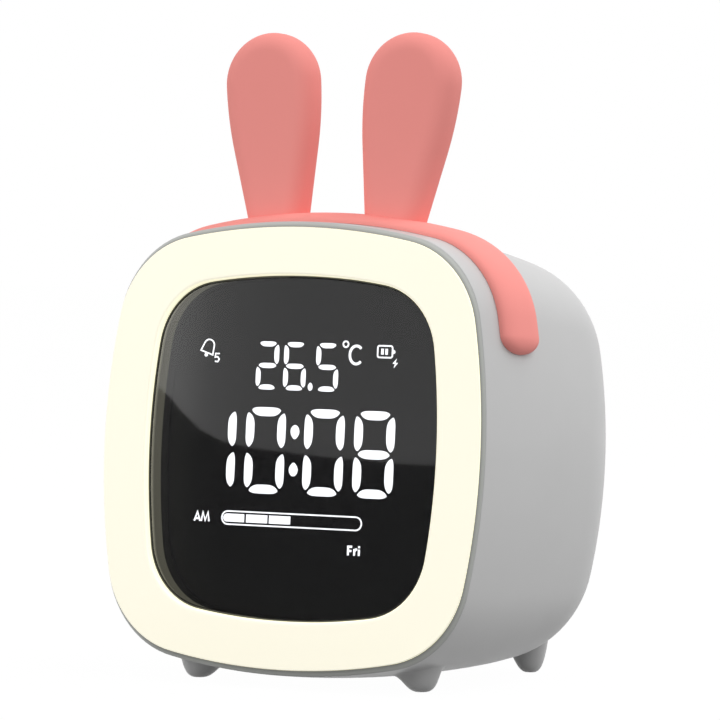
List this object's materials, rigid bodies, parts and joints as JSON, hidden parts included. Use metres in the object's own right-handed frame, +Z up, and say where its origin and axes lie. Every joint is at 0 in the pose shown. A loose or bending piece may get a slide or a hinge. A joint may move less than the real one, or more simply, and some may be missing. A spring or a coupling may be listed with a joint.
{
  "type": "bedside clock with night light",
  "caption": "Soft square bedside clock for a child: a light ring round a smoked digital display, stub feet, rear keys and a lift-off headband with long ears.",
  "frame": {"origin": "on the floor under the middle of the whole object, at rest on its feet", "axes": "+Z up; the display faces -Y and leans back by 3.7 degrees; +X is to the right of a person who looks at the display"},
  "size_m": [0.0848, 0.0742, 0.127],
  "materials": {
    "shell_white": "fine satin moulded ABS, white",
    "diffuser_cream": "translucent cream light diffuser, satin",
    "soft_black": "black gasket, matt",
    "smoked_lens": "smoked clear acrylic, polished",
    "inner_black": "black moulded plastic, matt",
    "lcd_dark": "dark display glass",
    "backlight_white": "white light guide",
    "contact_rubber": "layered contact rubber",
    "lamp_board_white": "white solder mask",
    "lamp_yellow": "yellow lamp phosphor",
    "steel": "nickel plated",
    "board_green": "green solder mask",
    "chip_black": "moulded epoxy",
    "can_grey": "capacitor can",
    "copper": "plated sensor can",
    "socket_white": "nylon connector",
    "cell_wrap": "blue film round a lithium cell",
    "foam_white": "adhesive foam tape",
    "lead_red": "insulated wire, red",
    "lead_black": "insulated wire, black",
    "switch_metal": "tact switch",
    "button_grey": "light grey moulded plastic, satin",
    "cone_black": "treated paper cone",
    "foam_black": "foam gasket",
    "ribbon_white": "flat flexible cable",
    "coral_soft": "soft coral silicone, matt"
  },
  "bodies": {
    "clock": {"housing": "shell_white", "front_frame": "shell_white", "light_ring": "diffuser_cream", "lens_trim": "soft_black", "display_lens": "smoked_lens", "display_carrier": "inner_black", "lcd_panel": "lcd_dark", "backlight_panel": "backlight_white", "lcd_contact_strip": "contact_rubber", "lamp_board": "lamp_board_white", "night_lamps": "lamp_yellow", "frame_screws": "steel", "main_board": "board_green", "board_screws": "steel", "clock_chip": "chip_black", "board_parts": "can_grey", "tap_sensor": "copper", "temperature_sensor": "chip_black", "board_sockets": "socket_white", "battery_cell": "cell_wrap", "battery_tape": "foam_white", "battery_leads": "lead_red", "rear_cover": "shell_white", "cover_screws": "steel", "button_board": "board_green", "button_board_screws": "steel", "tact_switches": "switch_metal", "speaker_frame": "steel", "speaker_magnet": "steel", "speaker_cone": "cone_black", "speaker_gasket": "foam_black", "speaker_leads": "lead_black", "usb_board": "board_green", "usb_socket": "steel", "usb_tongue": "chip_black", "charge_leads": "lead_red", "ribbon_cable": "ribbon_white"},
    "headband": {"ear_band": "coral_soft", "left_ear": "coral_soft", "right_ear": "coral_soft"},
    "set_key": {"button_set": "button_grey"},
    "alarm_key": {"button_alarm": "button_grey"},
    "up_key": {"button_up": "button_grey"},
    "down_key": {"button_down": "button_grey"},
    "light_key": {"button_light": "button_grey"}
  },
  "joints": [
    {"name": "headband_lift", "type": "slide", "parent": "clock", "child": "headband", "axis": [0, 0.0645, 0.9979], "range_m": [0, 0.03]},
    {"name": "set_press", "type": "slide", "parent": "clock", "child": "set_key", "axis": [0, -0.9979, 0.0645], "range_m": [0, 0.0005], "stiffness_N_per_m": 2000},
    {"name": "alarm_press", "type": "slide", "parent": "clock", "child": "alarm_key", "axis": [0, -0.9979, 0.0645], "range_m": [0, 0.0005], "stiffness_N_per_m": 2000},
    {"name": "up_press", "type": "slide", "parent": "clock", "child": "up_key", "axis": [0, -0.9979, 0.0645], "range_m": [0, 0.0005], "stiffness_N_per_m": 2000},
    {"name": "down_press", "type": "slide", "parent": "clock", "child": "down_key", "axis": [0, -0.9979, 0.0645], "range_m": [0, 0.0005], "stiffness_N_per_m": 2000},
    {"name": "light_press", "type": "slide", "parent": "clock", "child": "light_key", "axis": [0, -0.9979, 0.0645], "range_m": [0, 0.0005], "stiffness_N_per_m": 2000}
  ]
}
